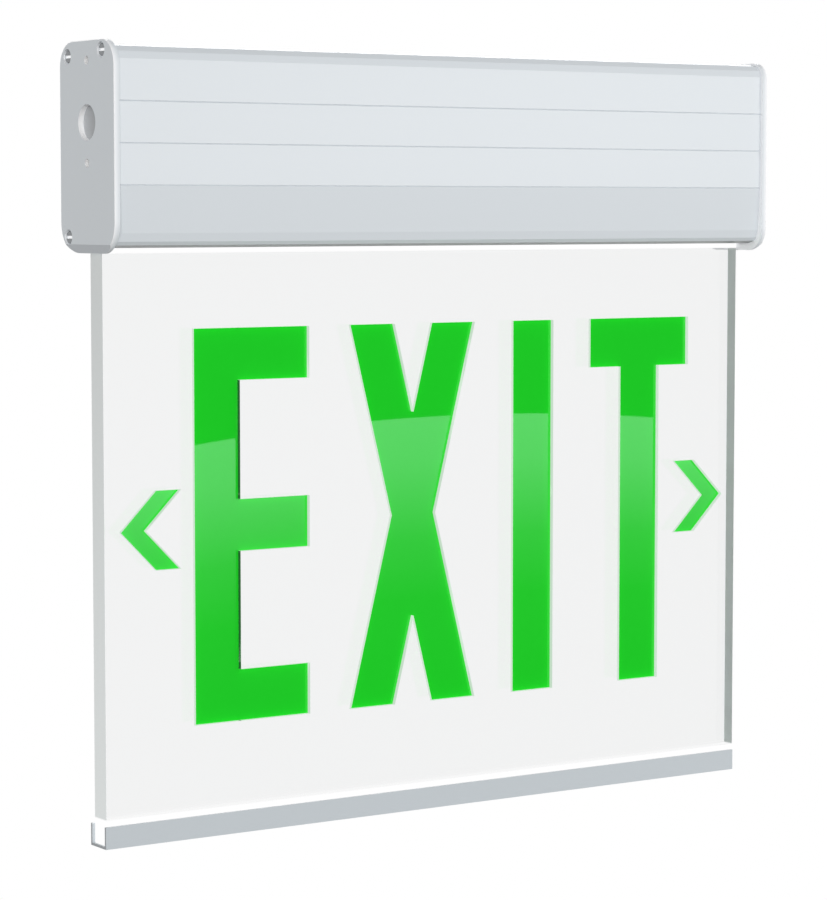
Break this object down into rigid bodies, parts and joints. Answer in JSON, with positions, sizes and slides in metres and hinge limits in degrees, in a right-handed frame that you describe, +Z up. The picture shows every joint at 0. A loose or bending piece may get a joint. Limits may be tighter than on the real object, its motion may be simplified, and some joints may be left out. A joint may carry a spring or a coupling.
{
  "type": "emergency exit light",
  "caption": "Edge-lit emergency exit light: clear acrylic legend panel hung from a slim aluminium housing with end caps, test button and pilot lamp.",
  "frame": {"origin": "centre of the ceiling entry, on the outer face of the housing's top", "axes": "+Z up, through the ceiling entry; +X along the housing, towards the cap with the test button; -Y is the legend's face"},
  "size_m": [0.3139, 0.0428, 0.3037],
  "materials": {
    "housing_paint": "satin silver-white paint on extruded aluminium",
    "cap_paint": "satin silver-grey paint on a die-cast cap",
    "screw_steel": "zinc-plated steel",
    "clear_acrylic": "clear polished acrylic",
    "legend_green": "green legend fill",
    "trim_aluminium": "satin anodised channel",
    "bar_aluminium": "mill finish",
    "board_white": "white solder mask",
    "led_lens": "yellow phosphor lens",
    "tray_steel": "zinc-plated sheet",
    "core_steel": "stacked iron plates",
    "coil_wrap": "yellow tape over the winding",
    "standoff_nylon": "natural nylon",
    "board_green": "green solder mask",
    "relay_case": "black case",
    "capacitor_sleeve": "shrink sleeve",
    "terminal_plastic": "blue moulding",
    "battery_wrap": "blue shrink wrap",
    "strap_steel": "spring steel band",
    "switch_case": "black moulding",
    "button_red": "red moulding",
    "lamp_red": "red lens"
  },
  "bodies": {
    "fixture": {"housing_extrusion": "housing_paint", "end_cap_left": "cap_paint", "end_cap_right": "cap_paint", "end_cap_screws_left": "screw_steel", "end_cap_screws_right": "screw_steel", "legend_panel": "clear_acrylic", "letter_e": "legend_green", "letter_x": "legend_green", "letter_i": "legend_green", "letter_t": "legend_green", "chevron_left": "legend_green", "chevron_right": "legend_green", "bottom_trim": "trim_aluminium", "lamp_bar": "bar_aluminium", "led_board": "board_white", "leds": "led_lens", "panel_screws": "screw_steel", "panel_nuts": "screw_steel", "electronics_tray": "tray_steel", "transformer_core": "core_steel", "transformer_coil": "coil_wrap", "board_standoffs": "standoff_nylon", "control_board": "board_green", "relay": "relay_case", "capacitors": "capacitor_sleeve", "terminal_block": "terminal_plastic", "battery_pack": "battery_wrap", "battery_strap": "strap_steel", "test_switch": "switch_case", "pilot_lamp": "lamp_red"},
    "test_button": {"test_button": "button_red"}
  },
  "joints": [
    {"name": "test_button_press", "type": "slide", "parent": "fixture", "child": "test_button", "axis": [-1, 0, 0], "range_m": [0, 0.0015], "stiffness_N_per_m": 400, "springref_m": -0.001}
  ]
}
